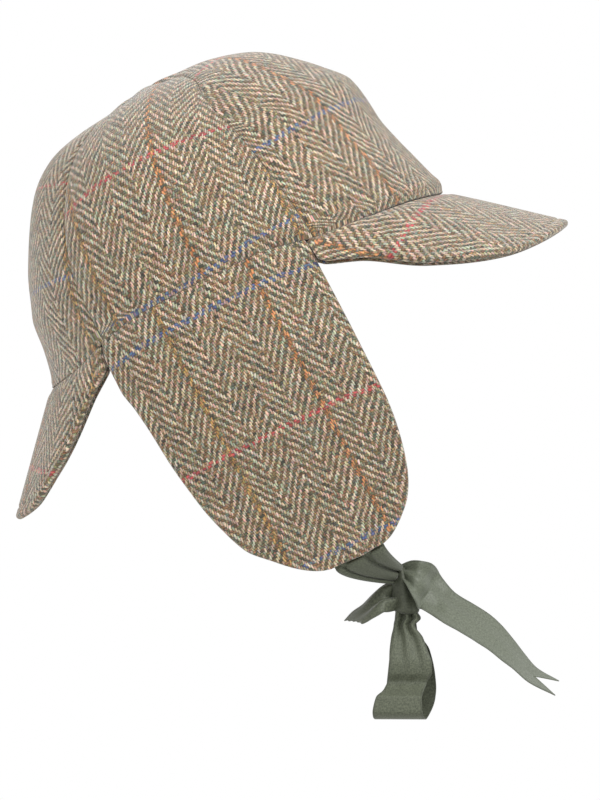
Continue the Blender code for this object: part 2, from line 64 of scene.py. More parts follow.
# rows: share of the way up, height, front reach, rear reach, side reach, puff, front seam sway, rear seam
# sway, and how far across a side panel its warp runs
crownRows = np.array([
    (0.00, 0.000, 1.000, 1.000, 1.000, 0.00, 0.0, 0.0, 0.5),
    (0.03, 0.046, 0.999, 0.968, 0.999, 0.05, 0.3, 0.3, 0.5),
    (0.07, 0.095, 0.982, 0.956, 0.996, 0.12, 0.6, 0.8, 0.5),
    (0.14, 0.190, 0.951, 0.941, 0.986, 0.22, 1.0, 1.6, 0.5),
    (0.22, 0.300, 0.913, 0.932, 0.966, 0.30, 1.5, 2.4, 0.5),
    (0.30, 0.400, 0.884, 0.898, 0.938, 0.38, 2.0, 3.0, 0.5),
    (0.38, 0.500, 0.872, 0.859, 0.900, 0.45, 2.5, 3.4, 0.5),
    (0.46, 0.600, 0.850, 0.806, 0.850, 0.55, 3.0, 3.6, 0.5),
    (0.54, 0.700, 0.768, 0.746, 0.780, 0.65, 3.5, 3.6, 0.5),
    (0.62, 0.780, 0.685, 0.691, 0.702, 0.75, 2.5, 3.4, 0.510),
    (0.70, 0.850, 0.599, 0.634, 0.615, 0.78, 0.0, 3.0, 0.529),
    (0.77, 0.900, 0.517, 0.573, 0.532, 0.75, -4.0, 2.5, 0.555),
    (0.84, 0.940, 0.407, 0.494, 0.435, 0.68, -8.0, 2.0, 0.579),
    (0.90, 0.965, 0.306, 0.366, 0.330, 0.58, -12.0, 1.5, 0.601),
    (0.94, 0.980, 0.196, 0.207, 0.205, 0.48, -16.0, 1.0, 0.619),
    (0.97, 0.998, 0.071, 0.112, 0.095, 0.36, -22.0, 0.5, 0.643),
    (1.00, 1.001, 0.000, 0.000, 0.000, 0.00, -25.0, 0.0, 0.654),
])
crownColumns = {
    "height": 1, "front": 2, "rear": 3, "side": 4, "puff": 5, "frontSway": 6, "rearSway": 7, "spine": 8,
}

# rows: share of the rim's reach from behind to in front, rise of the rim there
rimRows = np.array([
    (-1.00, 0.00), (-0.84, 0.20), (-0.66, 0.66), (-0.42, 0.95), (-0.05, 1.00), (0.14, 0.98),
    (0.33, 0.72), (0.42, 0.56), (0.63, 0.43), (0.83, 0.28), (1.00, 0.00),
])


# Value of one column of a table at places of its first column: a cubic between rows, whose slope at a row
# is the harmonic mean of the slopes on both sides, and level where those differ in sign.
def onCurve(rows, column, at):
    across, values = rows[:, 0], rows[:, column]
    chords = np.diff(values) / np.diff(across)
    slopes = np.empty_like(values)
    slopes[0], slopes[-1] = chords[0], chords[-1]
    left, right = chords[:-1], chords[1:]
    sameWay = left * right > 0
    slopes[1:-1] = np.where(sameWay, 2 * left * right / np.where(sameWay, left + right, 1), 0)
    at = np.asarray(at, float)
    cell = np.clip(np.searchsorted(across, at, side="right") - 1, 0, len(chords) - 1)
    width = across[cell + 1] - across[cell]
    t = np.clip((at - across[cell]) / width, 0, 1)
    start, end = values[cell], values[cell + 1]
    return (start * (1 + 2 * t) * (1 - t) ** 2 + slopes[cell] * width * t * (1 - t) ** 2
            + end * t * t * (3 - 2 * t) - slopes[cell + 1] * width * t * t * (1 - t))


def crown(column, up):
    return onCurve(crownRows, crownColumns[column], up)


def unit(vectors):
    return vectors / np.maximum(np.linalg.norm(vectors, axis=-1, keepdims=True), 1e-12)


def stack(x, y, z):
    return np.stack(np.broadcast_arrays(x, y, z), axis=-1)


# Evenly spaced shares from 0 to 1, drawn closer together at both ends by a part of a sine.
def shares(count, crowd=0.6):
    even = np.linspace(0, 1, count)
    return even - crowd * np.sin(2 * math.pi * even) / (2 * math.pi)


# Reach of the crown from its upright middle line: an egg-shaped superellipse at each level.
def crownReach(angle, up):
    cosine, sine = np.cos(angle), np.sin(angle)
    along = np.where(cosine >= 0, hat["rimFront"] * crown("front", up), hat["rimRear"] * crown("rear", up))
    aside = hat["rimSide"] * crown("side", up)
    power = hat["roundness"]
    return (np.abs(cosine / along) ** power + np.abs(sine / aside) ** power) ** (-1 / power)


# Height of the rim at a place along the hat.
def rimLift(x):
    fromMiddle = x - hat["middle"]
    share = fromMiddle / np.where(fromMiddle >= 0, hat["rimFront"], hat["rimRear"])
    return hat["rimRise"] * onCurve(rimRows, 1, share)


# A point of the crown's seam surface: the reach turned round a middle line that bends forward near the top
# as a power of the way up, and a height from the lifted rim to a top that leans a little upwards in front.
def crownBase(angle, up):
    atRim = hat["middle"] + crownReach(angle, np.zeros_like(up)) * np.cos(angle)
    reach = crownReach(angle, up)
    height = crown("height", up)
    bend = np.clip((up - hat["bendFrom"]) / (1 - hat["bendFrom"]), 0, 1) ** hat["bendPower"]
    x = hat["middle"] + hat["topForward"] * bend + reach * np.cos(angle)
    top = hat["crownHeight"] * (1 + hat["crownLean"] * (x - hat["middle"]) / hat["rimFront"])
    return stack(x, reach * np.sin(angle), rimLift(atRim) * (1 - height) + top * height)


# Outward direction of the crown: the cross product of its two tangents, turned level at the rim.
def crownNormal(angle, up):
    step = 0.004
    high, low = np.clip(up + step, 0, 0.985), np.clip(up - step, 0, 0.97)
    middle = np.clip(up, 0, 0.98)
    around = crownBase(angle + step, middle) - crownBase(angle - step, middle)
    normal = unit(np.cross(around, crownBase(angle, high) - crownBase(angle, low)))
    normal[..., 2] *= np.clip(up / crownRows[1, 0], 0, 1)
    return unit(normal)


# From the hat's own frame to that of a level head: a turn about Y.
def tilted(points):
    turn = math.radians(hat["tiltBack"])
    x, y, z = points[..., 0], points[..., 1], points[..., 2]
    return stack(x * math.cos(turn) - z * math.sin(turn), y, x * math.sin(turn) + z * math.cos(turn))


# A slight unevenness of soft cloth: three crossing sine waves of a few centimetres.
def softness(points, depth):
    x, y, z = (points[..., n] * 1000 for n in range(3))
    wave = np.sin(x / 9.1 + y / 13.7 + 0.8) + np.sin(z / 11.3 - x / 17.9 + 2.1)
    wave = wave + np.sin(y / 7.7 + z / 15.1 + 4.2)
    return depth * wave / 3


# Length along a run of points, from its first.
def lengthAlong(points, axis=0):
    steps = np.linalg.norm(np.diff(points, axis=axis), axis=-1)
    return np.insert(np.cumsum(steps, axis=axis), 0, 0, axis=axis)


def addObject(name, data):
    made = bpy.data.objects.new(name, data)
    bpy.context.scene.collection.objects.link(made)
    return made


# A mesh of quads with a fabric map in millimetres, smooth shaded, its place in its points. Tweed has a
# second map for the overcheck: the distances from an orange line, which lies between two stripes, and from
# a blue one.
def addMesh(name, points, quads, fabric, finishes, finishOf, check=None):
    mesh = bpy.data.meshes.new(name)
    mesh.vertices.add(len(points))
    mesh.vertices.foreach_set("co", points.astype(np.float32).ravel())
    mesh.loops.add(quads.size)
    mesh.loops.foreach_set("vertex_index", quads.astype(np.int32).ravel())
    mesh.polygons.add(len(quads))
    mesh.polygons.foreach_set("loop_start", np.arange(0, quads.size, 4, dtype=np.int32))
    mesh.update(calc_edges=True)
    maps = {"fabric": fabric}
    if check:
        maps = {"fabric": fabric - np.array(check["from"])}
        maps["check"] = maps["fabric"] * np.array(check.get("scale", (1.0, 1.0)))
    for mapName, places in maps.items():
        layer = mesh.uv_layers.new(name=mapName)
        layer.uv.foreach_set("vector", places[quads.ravel()].astype(np.float32).ravel())
    for finish in finishes:
        mesh.materials.append(finish)
    mesh.polygons.foreach_set("material_index", finishOf.astype(np.int32))
    mesh.shade_smooth()
    mesh.validate()
    return addObject(name, mesh)


def gridQuads(grid):
    return np.stack([grid[:-1, :-1], grid[:-1, 1:], grid[1:, 1:], grid[1:, :-1]], -1).reshape(-1, 4)


# A closed wall of cloth: the outer grid, a copy of it one thickness further in, and between their borders a
# half round of rings that swells outwards by a share of half the thickness.
def clothShell(name, outer, normal, thick, fabric, finishes, bulge=1.0, rings=6, check=None):
    rows, columns = outer.shape[:2]
    count = rows * columns
    grid = np.arange(count).reshape(rows, columns)
    loop = np.concatenate([grid[0], grid[1:, -1], grid[-1, -2::-1], grid[-2:0:-1, 0]])
    inward = np.clip(loop // columns, 1, rows - 2) * columns + np.clip(loop % columns, 1, columns - 2)
    outerFlat, normalFlat, fabricFlat = outer.reshape(-1, 3), normal.reshape(-1, 3), fabric.reshape(-1, 2)
    edge = normalFlat[loop]
    away = outerFlat[loop] - outerFlat[inward]
    away = unit(away - (away * edge).sum(-1, keepdims=True) * edge)
    fabricAway = unit(fabricFlat[loop] - fabricFlat[inward])
    turns = (math.pi * np.arange(1, rings) / rings)[:, None, None]
    middle = outerFlat[loop] - thick / 2 * edge
    rounded = middle + thick / 2 * (np.cos(turns) * edge + bulge * np.sin(turns) * away)
    roundFabric = fabricFlat[loop] + thick * 500 * turns * fabricAway
    points = np.concatenate([outerFlat, outerFlat - thick * normalFlat, rounded.reshape(-1, 3)])
    places = np.concatenate([fabricFlat, fabricFlat, roundFabric.reshape(-1, 2)])
    face = gridQuads(grid)
    between = [2 * count + ring * len(loop) + np.arange(len(loop)) for ring in range(rings - 1)]
    loops = [loop, *between, loop + count]
    sides = [np.stack([np.roll(a, -1), a, b, np.roll(b, -1)], -1) for a, b in zip(loops, loops[1:])]
    quads = np.concatenate([face, face[:, ::-1] + count] + sides)
    middleFace = face[(rows - 1) // 2 * (columns - 1) + (columns - 1) // 2]
    corners = outerFlat[middleFace]
    facing = np.cross(corners[2] - corners[0], corners[3] - corners[1])
    if facing @ normalFlat[middleFace[0]] < 0:
        quads = quads[:, ::-1]
    # the copy and the inner half of the rings take the last finish
    finishOf = np.zeros(len(quads))
    finishOf[len(face):2 * len(face)] = len(finishes) - 1
    finishOf[2 * len(face) + rings // 2 * len(loop):] = len(finishes) - 1
    return addMesh(name, points, quads, places, finishes, finishOf, check)


# Cloth coordinates in millimetres, leaning as the piece was cut: across plus a share of along, and back.
def fabricMap(across, along, lean=0.0, skew=0.0):
    across, along = across * 1000, along * 1000
    return np.stack([across + lean * along, along + skew * across], -1)


def dress(piece, nodes):
    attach(piece, "root")
    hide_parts(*nodes)


# sRGB hex to linear colour.
def colour(hexCode):
    share = np.array([int(hexCode[n:n + 2], 16) / 255 for n in (0, 2, 4)])
    linear = np.where(share <= 0.04045, share / 12.92, ((share + 0.055) / 1.055) ** 2.4)
    return (*linear.tolist(), 1.0)


# Adds a node with its settings. Its open inputs are given in the order in which they stand, or by name, as
# values, as sockets, or as nodes whose first open output is linked.
def addNode(tree, kind, inputs=(), **settings):
    node = tree.nodes.new("ShaderNode" + kind)
    for name, setting in settings.items():
        setattr(node, name, setting)
    openInputs = [socket for socket in node.inputs if socket.enabled]
    pairs = zip(openInputs, inputs)
    if isinstance(inputs, dict):
        pairs = [(node.inputs[name], value) for name, value in inputs.items()]
    for socket, value in pairs:
        if isinstance(value, bpy.types.Node):
            value = next(output for output in value.outputs if output.enabled)
        if isinstance(value, bpy.types.NodeSocket):
            tree.links.new(value, socket)
        else:
            socket.default_value = value
    return node


# A new material, what adds nodes to it, and its principled shader.
def newMaterial(name):
    made = bpy.data.materials.new(name)
    made.use_nodes = True
    return made, partial(addNode, made.node_tree), made.node_tree.nodes["Principled BSDF"]


# Steps of a colour ramp, as wide as each other, one for each hex code.
def fillRamp(ramp, codes):
    ramp.color_ramp.interpolation = "CONSTANT"
    stops = ramp.color_ramp.elements
    for number, code in enumerate(codes):
        stop = stops[number] if number < len(stops) else stops.new(number / len(codes))
        stop.position, stop.color = number / len(codes), colour(code)


# Joins a colour and a bump, of a strength, distance and height, to a shader, and sets its values.
def joinShader(made, shader, tone, bump, values):
    bump = addNode(made.node_tree, "Bump", dict(zip(("Strength", "Distance", "Height"), bump)))
    made.node_tree.links.new(tone, shader.inputs["Base Color"])
    made.node_tree.links.new(bump.outputs[0], shader.inputs["Normal"])
    for name, value in values.items():
        shader.inputs[name].default_value = value


tweed = {
    "endPitch": 0.93,  # mm from one warp yarn to the next
    "pickPitch": 1.32,  # mm from one weft yarn to the next
    "endsPerStripe": 13,
    "orangeToMustard": 48.4,  # mm between the overcheck's upright lines
    "blueToRed": 65.0,  # mm between its level lines
    "lineWide": (1.35, 1.2),  # mm either side of a line's middle
    "lineShare": (0.8, 0.78),  # how far the line's dye hides the yarn's own colour
    "light": ("bfaa93", "c6a592", "acac95", "b9a98a", "b5ac9b", "c8b49e", "ae977c"),
    "dark": ("715c43", "6c634a", "5c5d4f", "7c5f46", "65553e", "4c483e"),
    "specks": ("bb7a62", "708a6c", "577c7c", "8f5a4a", "ad9758"),
    "orange": "bd7740",
    "mustard": "ab8040",
    "blue": "455a84",
    "red": "ad4149",
    "strays": ((0.12, 2.0), (0.45, 0.9), (1.5, 0.35)),  # per mm, and mm that the yarns stray
}


# Woollen tweed, a two and two herringbone of light warp ends over dark weft picks, woven from heathered
# yarn: the eye sees slanting dashes that turn back every stripe, flecks of colour and a dry, matt face.
def tweedFinish():
    made, add, shader = newMaterial("woollenTweed")
    place = add("UVMap", uv_map="fabric")
    strayed = place
    for scale, wander in tweed["strays"]:
        noise = add("TexNoise", {"Vector": place, "Scale": scale, "Detail": 1.0}, noise_dimensions="2D")
        spread = [noise.outputs["Color"], (wander,) * 3, (-wander / 2,) * 3]
        moved = add("VectorMath", spread, operation="MULTIPLY_ADD")
        strayed = add("VectorMath", [strayed, moved], operation="ADD")
    across, along = add("SeparateXYZ", [strayed]).outputs[:2]

    # yarn numbers, and the share of the way across each yarn
    ends = add("Math", [across, tweed["endPitch"]], operation="DIVIDE")
    picks = add("Math", [along, tweed["pickPitch"]], operation="DIVIDE")
    end, pick = add("Math", [ends], operation="FLOOR"), add("Math", [picks], operation="FLOOR")
    endShare, pickShare = add("Math", [ends], operation="FRACT"), add("Math", [picks], operation="FRACT")
    stripe = add("Math", [add("Math", [end, tweed["endsPerStripe"]], operation="DIVIDE")], operation="FLOOR")
    odd = add("Math", [stripe, 2.0], operation="FLOORED_MODULO")
    way = add("Math", [odd, -2.0, 1.0], operation="MULTIPLY_ADD")
    climb = add("Math", [end, way, pick], operation="MULTIPLY_ADD")
    step = add("Math", [climb, 4.0], operation="FLOORED_MODULO")
    warpUp = add("Math", [step, 1.5], operation="LESS_THAN")

    # each float is a rounded dash: a sine across the yarn and a flatter one along it
    warpAlong = add("Math", [step, pickShare], operation="ADD")
    turnedShare = add("Math", [add("Math", [odd, endShare], operation="SUBTRACT")], operation="ABSOLUTE")
    weftAlong = add("Math", [add("Math", [step, turnedShare], operation="ADD"), 2.0], operation="SUBTRACT")
    dashes = []
    for crossing, running in ((endShare, warpAlong), (pickShare, weftAlong)):
        lengthwise = add("Math", [running, math.pi / 2], operation="MULTIPLY")
        lengthwise = add("Math", [lengthwise], operation="SINE")
        lengthwise = add("Math", [add("Math", [lengthwise], operation="ABSOLUTE"), 0.6], operation="POWER")
        crosswise = add("Math", [add("Math", [crossing, math.pi], operation="MULTIPLY")], operation="SINE")
        dashes.append(add("Math", [crosswise, lengthwise], operation="MULTIPLY"))
    height = add("Mix", [warpUp, dashes[1], dashes[0]], data_type="FLOAT")

    # a colour and a brightness of its own for each float of an end or a pick
    floatNumber = add("Math", [add("Math", [climb, 4.0], operation="DIVIDE")], operation="FLOOR")
    endPair = add("Math", [add("Math", [end, 2.0], operation="DIVIDE")], operation="FLOOR")
    yarns, own = [], []
    for codes, names in ((tweed["dark"], [pick, endPair, 7.5]), (tweed["light"], [end, floatNumber, 0.5])):
        dice = add("TexWhiteNoise", [add("CombineXYZ", names)], noise_dimensions="3D")
        ramp = add("ValToRGB", [dice.outputs["Value"]])
        fillRamp(ramp, codes)
        yarns.append(ramp)
        own.append(add("SeparateXYZ", [dice.outputs["Color"]]).outputs[1])
    brightness = add("Mix", [warpUp, *own], data_type="FLOAT")

    # the overcheck dyes whole yarns whose middle is near enough to one of its lines
    checked = add("SeparateXYZ", [add("UVMap", uv_map="check")]).outputs
    checks = (
        (1, pickShare, "pickPitch", "blueToRed", ("blue", "red")),
        (0, endShare, "endPitch", "orangeToMustard", ("orange", "mustard")),
    )
    for number, (axis, share, pitch, apart, names) in enumerate(checks):
        fromMiddle = add("Math", [share, -tweed[pitch], tweed[pitch] / 2], operation="MULTIPLY_ADD")
        yarnMiddle = add("Math", [checked[axis], fromMiddle], operation="ADD")
        for turn, name in enumerate(names):
            moved = add("Math", [yarnMiddle, (1 - turn) * tweed[apart]], operation="ADD")
            cycle = add("Math", [moved, 2 * tweed[apart]], operation="FLOORED_MODULO")
            near = add("Math", [cycle, tweed[apart], tweed["lineWide"][axis]], operation="COMPARE")
            near = add("Math", [near, tweed["lineShare"][axis]], operation="MULTIPLY")
            yarns[number] = add("Mix", [near, yarns[number], colour(tweed[name])], data_type="RGBA")
    cloth = add("Mix", [warpUp, *yarns], data_type="RGBA")

    # flecks of dyed wool, heathering a little finer than a float, and painted shade in the gaps round the
    # floats
    fleck = add("TexVoronoi", {"Vector": place, "Scale": 0.75}, voronoi_dimensions="2D")
    parts = add("SeparateXYZ", [fleck.outputs["Color"]]).outputs
    chosen = add("Math", [fleck.outputs["Distance"], 0.4], operation="LESS_THAN")
    rare = add("Math", [parts[1], 0.55], operation="GREATER_THAN")
    chosen = add("Math", [chosen, rare], operation="MULTIPLY")
    specks = add("ValToRGB", [parts[0]])
    fillRamp(specks, tweed["specks"])
    dyed = add("Math", [chosen, 0.34], operation="MULTIPLY")
    cloth = add("Mix", [dyed, cloth, specks], data_type="RGBA")
    noise = add("TexNoise", {"Vector": place, "Scale": 1.0, "Detail": 2.0}, noise_dimensions="2D")
    heather = add("VectorMath", [noise.outputs["Color"], (0.9,) * 3, (0.54,) * 3], operation="MULTIPLY_ADD")
    cloth = add("VectorMath", [cloth, heather], operation="MULTIPLY")
    # painted shade between the yarns: a float's colour darkens where its dash is low, at its edges and ends
    depth = add("Mix", [warpUp, 0.9, 0.8], data_type="FLOAT")
    floor = add("Mix", [warpUp, 0.55, 0.45], data_type="FLOAT")
    paintedYarnShade = add("Math", [height, depth, floor], operation="MULTIPLY_ADD")
    lit = add("Math", [brightness, 0.7, 0.62], operation="MULTIPLY_ADD")
    tone = add("Math", [paintedYarnShade, lit], operation="MULTIPLY")
    cloth = add("VectorMath", [cloth, tone], operation="SCALE")

    hairs = add("TexNoise", {"Vector": place, "Scale": 3.0, "Detail": 3.0}, noise_dimensions="2D")
    raised = add("Math", [hairs, 0.6, height], operation="MULTIPLY_ADD")
    joinShader(made, shader, cloth.outputs[0], (0.6, 0.0004, raised), {
        "Roughness": 0.95, "Specular IOR Level": 0.2, "Sheen Weight": 0.5, "Sheen Roughness": 0.5,
    })
    return made


lining = {
    "acetateLining": {"tone": "34362f", "shadow": "1d1f1c", "rib": 0.5},
    "petershamBand": {"tone": "2b2f2f", "shadow": "191c1d", "rib": 0.9},
}


# Lining twill of acetate, or the ribbed petersham of the band: dark and smooth, with fine ribs that catch
# soft light.
def liningFinish(name):
    made, add, shader = newMaterial(name)
    values = lining[name]
    place = add("UVMap", uv_map="fabric")
    ribs = {"Vector": place, "Scale": 0.4 / values["rib"], "Distortion": 0.6}
    rib = add("TexWave", ribs, bands_direction="DIAGONAL")
    cloudy = add("TexNoise", {"Vector": place, "Scale": 0.08, "Detail": 3.0}, noise_dimensions="2D")
    tone = add("Mix", [cloudy, colour(values["shadow"]), colour(values["tone"])], data_type="RGBA")
    bump = (0.3, 0.0001, rib.outputs[1])
    joinShader(made, shader, tone.outputs[2], bump, {"Roughness": 0.5, "Sheen Weight": 0.2})
    return made


ribbon = {
    "width": 0.025,
    "wall": 0.0005,
    "columns": 60,
    "tailRows": 160,
    "cutPower": 8,  # how late along its run a ribbon is drawn back to its cut
    "leastArea": 0.35,  # of the flat ribbon's
    "rib": 0.45,  # mm, drawn coarser than the real weft so that it shows
    # two copies of one ribbon: the first paler, with painted light, the second darker, with painted shade
    "satinRibbonPaintedLit": {"tone": "747a6a", "deep": "4b5142", "rough": 0.5},
    "satinRibbonPaintedShade": {"tone": "686d5a", "deep": "373c2f", "rough": 0.6},
}


# Matt satin ribbon of woven acetate: a soft grey green, mottled, with a faint crosswise rib and a firm woven
# edge.
# It comes in two copies: a paler one with painted light for the upturned front tail, and a darker one with
# painted shade for the ties, knot, loop and rear tail.
def ribbonFinish(name):
    made, add, shader = newMaterial(name)
    values = ribbon[name]
    place = add("UVMap", uv_map="fabric")
    across, along = add("SeparateXYZ", [place]).outputs[:2]
    coarse = {"Vector": place, "Scale": 1.0, "Detail": 4.0, "Roughness": 0.8}
    grain = add("TexNoise", coarse, noise_dimensions="2D")
    mottled = add("MapRange", {"Value": grain.outputs[0], "From Min": 0.3, "From Max": 0.7})
    ribs = add("Math", [along, 2 * math.pi / ribbon["rib"]], operation="MULTIPLY")
    ribs = add("Math", [ribs], operation="SINE")
    fromMiddle = add("Math", [across], operation="ABSOLUTE")
    woven = {"Value": fromMiddle, "From Min": 11.4, "From Max": 11.9, "To Min": 0.0, "To Max": 0.4}
    edge = add("MapRange", woven)
    tone = add("Mix", [mottled, colour(values["deep"]), colour(values["tone"])], data_type="RGBA")
    edged = add("Mix", [edge, tone, colour("3a3d33")], data_type="RGBA")
    raised = add("Math", [ribs, 0.35, grain], operation="MULTIPLY_ADD")
    joinShader(made, shader, edged.outputs[2], (0.3, 0.0001, raised), {
        "Roughness": values["rough"], "Sheen Weight": 0.2, "Sheen Roughness": 0.4,
    })
    return made


woollenTweed = tweedFinish()
acetateLining, petershamBand = liningFinish("acetateLining"), liningFinish("petershamBand")
# the same ribbon in two copies: a paler one with painted light and a darker one with painted shade
satinPaintedLit, satinPaintedShade = ribbonFinish("satinRibbonPaintedLit"), ribbonFinish("satinRibbonPaintedShade")
print("finishes ready")


crownLook = {
    "rows": 130,
    "columns": 96,
    "rowSpan": (0.0035, 0.9985),  # shares of the way up
    "crowding": (0.35, 0.7),
    "puffPower": 0.9,
    "rimTuck": 2.4,  # tucks, along the rim
    "flattenWithin": 0.02,  # m from the top's middle, where tucks fade
    "seamInset": 0.0005,
    "mostInset": 0.3,  # share of the panel's width
    "tuckDepth": 0.0005,
    "tuckWidth": 0.0022,
    "softDepth": 0.0004,
    # seams in degrees, what sways them, and puff
    "panels": {
        "front": (0.0, 60.6, None, "frontSway", 0.0028),
        "side": (60.6, 136.0, "frontSway", "rearSway", 0.0031),
        "rear": (136.0, 180.0, "rearSway", None, 0.0012),
    },
    # how the cloth leans, where its orange and blue lines fall, in mm from the panel's spine and the rim,
    # and how many times closer they lie
    "cut": {
        "sideRight": {"lean": -0.084, "skew": 0.0, "from": (2.5, 2.0), "scale": (1.0, 1.03)},
        "frontRight": {"lean": 0.0, "skew": 0.1, "from": (-2.1, 54.3)},
        "rearRight": {"lean": 0.0, "skew": 0.0, "from": (-20.0, 43.0), "scale": (1.0, 1.35)},
        "sideLeft": {"lean": 0.05, "skew": 0.0, "from": (-9.0, 14.0)},
        "frontLeft": {"lean": 0.0, "skew": -0.05, "from": (8.0, 58.0)},
        "rearLeft": {"lean": 0.0, "skew": 0.0, "from": (11.0, 31.0)},
    },
}


# A sewn panel from rim to top: the seam surface plus a puff that is a sine between the two seams, less a
# bell-shaped tuck that draws it in along the seams and the rim. The cloth's warp runs up the panel's spine:
# beside it, a point's place along the warp is the spine's, plus its reach in the direction of the spine.
def crownPanel(place, hand, side):
    first, second, firstSway, secondSway, puff = crownLook["panels"][place]
    (lowest, highest), (rowCrowd, columnCrowd) = crownLook["rowSpan"], crownLook["crowding"]
    rows = lowest + (highest - lowest) * shares(crownLook["rows"], rowCrowd)
    across, up = np.meshgrid(shares(crownLook["columns"], columnCrowd), rows)
    start = np.radians(first + (crown(firstSway, up) if firstSway else 0))
    end = np.radians(second + (crown(secondSway, up) if secondSway else 0))
    reach = crownReach((start + end) / 2, up)
    margin = np.minimum(crownLook["seamInset"] / reach, (end - start) * crownLook["mostInset"])
    angle = side * (start + margin + (end - start - 2 * margin) * across)
    normal = crownNormal(angle, up)
    base = crownBase(angle, up)
    swell = puff * np.sin(math.pi * across) ** crownLook["puffPower"] * crown("puff", up)
    fromSeam = np.minimum(across, 1 - across) * (end - start) * reach
    fromRim = lengthAlong(base, axis=0)
    atSeam = np.exp(-(fromSeam / crownLook["tuckWidth"]) ** 2)
    atRim = crownLook["rimTuck"] * np.exp(-(fromRim / crownLook["tuckWidth"]) ** 2)
    tuck = crownLook["tuckDepth"] * np.clip(atSeam + atRim, 0, crownLook["rimTuck"])
    fade = np.clip(reach / crownLook["flattenWithin"], 0, 1)
    raised = swell + (softness(base, crownLook["softDepth"]) - tuck) * fade
    outer = base + raised[..., None] * normal
    name = f"{place}{hand}"
    atSpine = crown("spine", rows) if place == "side" else np.full(len(rows), 0.5)
    cell = np.searchsorted(across[0], atSpine) - 1
    part = ((atSpine - across[0, cell]) / (across[0, cell + 1] - across[0, cell]))[:, None]
    row = np.arange(len(rows))
    spine = (outer[row, cell] * (1 - part) + outer[row, cell + 1] * part)[:, None]
    ahead = ((outer - spine) * unit(np.gradient(spine, axis=0))).sum(-1)
    around = lengthAlong(outer, axis=1)
    around = around - around[row, cell][:, None] * (1 - part) - around[row, cell + 1][:, None] * part
    widthwise = side * np.sign(around) * np.sqrt(np.maximum(around ** 2 - ahead ** 2, 0))
    lengthwise = lengthAlong(spine) + ahead
    cut = crownLook["cut"][name]
    fabric = fabricMap(widthwise, lengthwise, cut["lean"], cut["skew"])
    piece = clothShell(f"crownPanel_{name}", tilted(outer), tilted(normal), hat["cloth"], fabric,
                       [woollenTweed, acetateLining], bulge=0.45, rings=4, check=cut)
    dress(piece, [f"crown_{place}_{hand.lower()}"])


for place in ("front", "side", "rear"):
    for hand, side in hands:
        crownPanel(place, hand, side)
print("crown panels sewn")


flapLook = {
    "frontAngle": 62.5,
    "rearAngle": 136.0,
    "drop": 0.133,
    "inset": 0.038,
    "flatten": 0.75,
    "wall": 0.003,
    "rows": 130,
    "columns": 100,
    "edgeInset": 0.0012,
    "topInset": 0.004,  # share of the drop
    "tuckDepth": 0.0014,
    "tuckWidth": 0.0022,
    "softDepth": 0.0005,
    "turnedIn": 0.0045,  # the hollow inside the turned edge
    "turnedDepth": 0.0003,
    "turnedWidth": 0.0012,
    "cut": {
        "Right": {"lean": 0.03, "from": (22.6, -12.2)},
        "Left": {"lean": 0.02, "from": (9.0, -38.0)},
    },
}

# rows: share of the way down, front and rear reach, how far inward
flapRows = np.array([
    (0.00, 0.985, 1.035, 0.00), (0.08, 0.985, 1.055, 0.02), (0.16, 0.990, 1.054, 0.05),
    (0.24, 0.994, 1.014, 0.09), (0.32, 0.996, 0.984, 0.14), (0.47, 0.996, 0.945, 0.29),
    (0.56, 0.994, 0.908, 0.39), (0.64, 0.978, 0.868, 0.50), (0.73, 0.938, 0.797, 0.62),
    (0.82, 0.872, 0.698, 0.75), (0.89, 0.780, 0.525, 0.85), (0.95, 0.625, 0.350, 0.92),
    (0.98, 0.512, 0.220, 0.97), (1.00, 0.390, 0.060, 1.00),
])


# Middle and half length of a flap along the hat, at the rim.
def flapSpan():
    margin = hat["seamGap"] / 2 / hat["rimSide"]
    angles = np.radians([flapLook["frontAngle"], flapLook["rearAngle"]]) + margin * np.array([1, -1])
    front, rear = crownBase(angles, np.zeros(2))[:, 0]
    return (front + rear) / 2, (front - rear) / 2


# A point of a flap: it follows the rim's curve at its top, flattens as it goes down and turns inward.
def flapPoint(x, down, side):
    fromMiddle = x - hat["middle"]
    share = np.abs(fromMiddle) / np.where(fromMiddle >= 0, hat["rimFront"], hat["rimRear"])
    aside = hat["rimSide"] * np.clip(1 - share ** hat["roundness"], 0, 1) ** (1 / hat["roundness"])
    flat = hat["rimSide"] - (hat["rimSide"] - aside) * (1 - flapLook["flatten"] * np.clip(down, 0, 1))
    y = flat - flapLook["inset"] * onCurve(flapRows, 3, down)
    return stack(x, side * y, (rimLift(x) - hat["seamGap"]) * (1 - down) - flapLook["drop"] * down)


# Outward direction of a flap: the cross product of its tangents, turned level at the rim.
def flapNormal(x, down, side):
    step = 0.001
    along = flapPoint(x + step, down, side) - flapPoint(x - step, down, side)
    low, high = np.clip(down + step, 2 * step, 1), np.clip(down - step, 0, 1 - 2 * step)
    normal = unit(np.cross(flapPoint(x, high, side) - flapPoint(x, low, side), along)) * side
    normal[..., 2] *= np.clip(down / flapRows[1, 0], 0, 1)
    return unit(normal)


